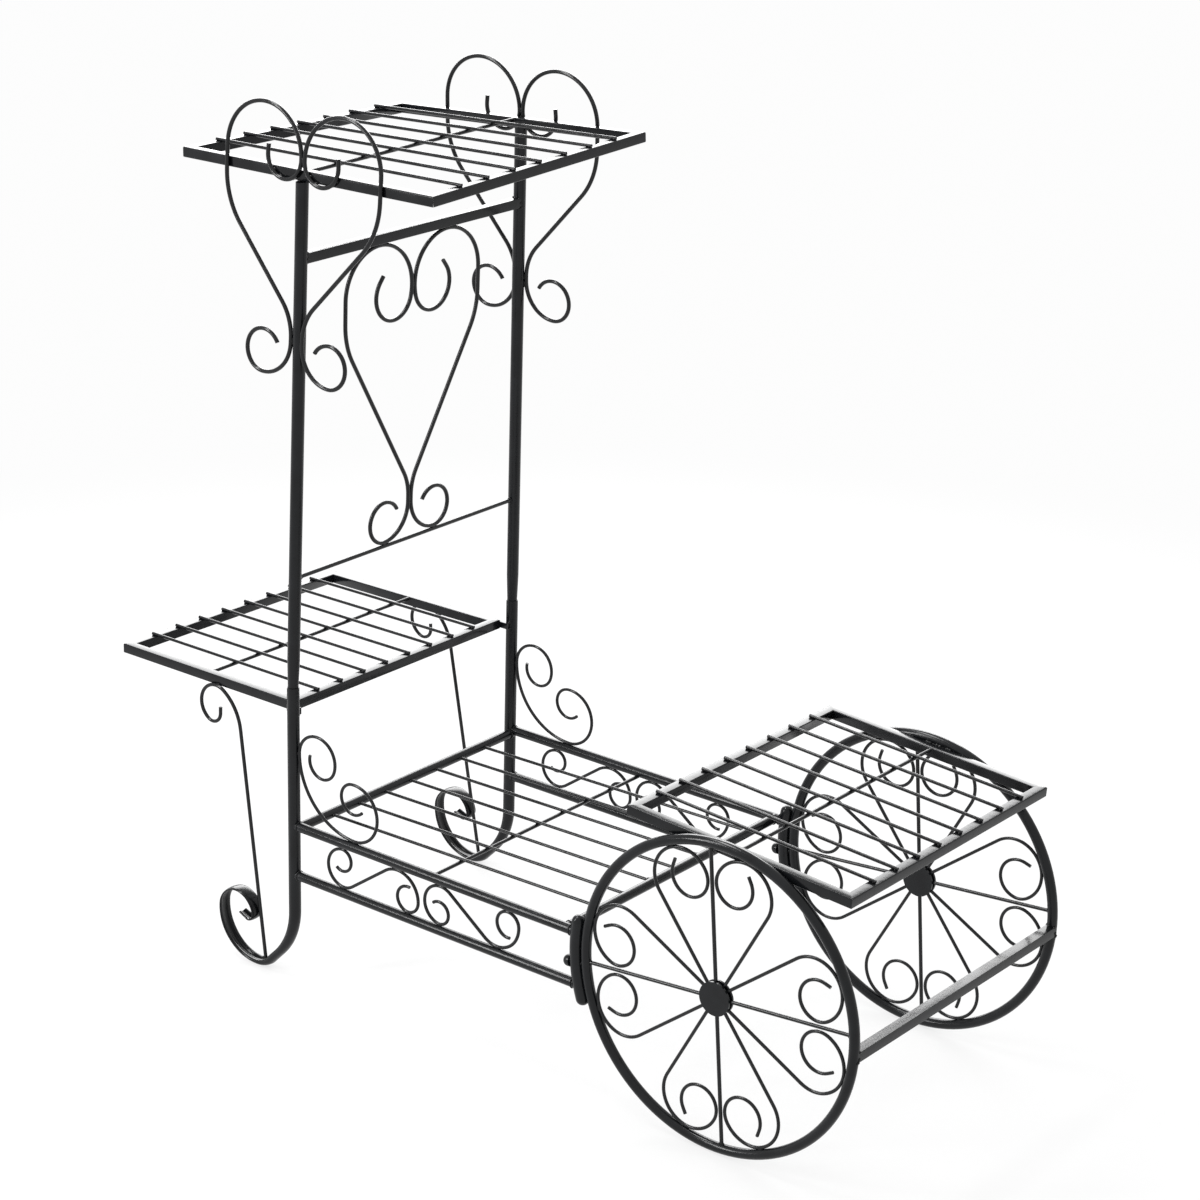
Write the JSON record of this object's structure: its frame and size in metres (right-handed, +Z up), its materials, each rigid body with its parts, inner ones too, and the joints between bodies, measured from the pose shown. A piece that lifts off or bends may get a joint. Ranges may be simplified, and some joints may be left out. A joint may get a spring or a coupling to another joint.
{
  "type": "flower cart stand",
  "caption": "Welded metal plant stand in the shape of a cart, with tiered slatted shelves, scrollwork sides, a heart-shaped back and scrolled wheels.",
  "frame": {"origin": "on the floor under the middle of the stand's footprint", "axes": "+Z up; +X from the posts towards the wheels; -Y is the near side in the picture"},
  "size_m": [1.1125, 0.4185, 1.0678],
  "materials": {
    "black_paint": "gloss"
  },
  "bodies": {
    "root": {"back_heart_far": "black_paint", "back_heart_near": "black_paint", "back_lower_rod": "black_paint", "back_top_bar": "black_paint", "bottom_shelf_cross_rod": "black_paint", "bottom_shelf_front_tube": "black_paint", "bottom_shelf_rear_tube": "black_paint", "bottom_shelf_slats": "black_paint", "bracket_bolts": "black_paint", "corner_scroll_far": "black_paint", "corner_scroll_near": "black_paint", "foot_brace_far": "black_paint", "foot_brace_near": "black_paint", "front_crossbar": "black_paint", "front_shelf_cross_rod": "black_paint", "front_shelf_far_rail": "black_paint", "front_shelf_front_rail": "black_paint", "front_shelf_near_rail": "black_paint", "front_shelf_rear_rail": "black_paint", "front_shelf_slats": "black_paint", "front_wave_scroll_far": "black_paint", "front_wave_scroll_near": "black_paint", "lower_post_far": "black_paint", "lower_post_near": "black_paint", "lower_side_rail_far": "black_paint", "lower_side_rail_near": "black_paint", "middle_shelf_cross_rod": "black_paint", "middle_shelf_far_rail": "black_paint", "middle_shelf_front_rail": "black_paint", "middle_shelf_lugs": "black_paint", "middle_shelf_near_rail": "black_paint", "middle_shelf_rear_rail": "black_paint", "middle_shelf_slats": "black_paint", "rear_wave_scroll_far": "black_paint", "rear_wave_scroll_near": "black_paint", "side_heart_far_front": "black_paint", "side_heart_far_rear": "black_paint", "side_heart_near_front": "black_paint", "side_heart_near_rear": "black_paint", "top_shelf_cross_rod": "black_paint", "top_shelf_far_rail": "black_paint", "top_shelf_front_rail": "black_paint", "top_shelf_near_rail": "black_paint", "top_shelf_rear_rail": "black_paint", "top_shelf_slats": "black_paint", "upper_post_far": "black_paint", "upper_post_near": "black_paint", "upper_side_rail_far": "black_paint", "upper_side_rail_near": "black_paint", "wheel_bracket_far": "black_paint", "wheel_bracket_near": "black_paint", "wheel_hub_discs_far": "black_paint", "wheel_hub_discs_near": "black_paint", "wheel_rim_far": "black_paint", "wheel_rim_near": "black_paint", "wheel_scrolls_far": "black_paint", "wheel_scrolls_near": "black_paint", "wheel_spokes_far": "black_paint", "wheel_spokes_near": "black_paint"}
  },
  "joints": []
}
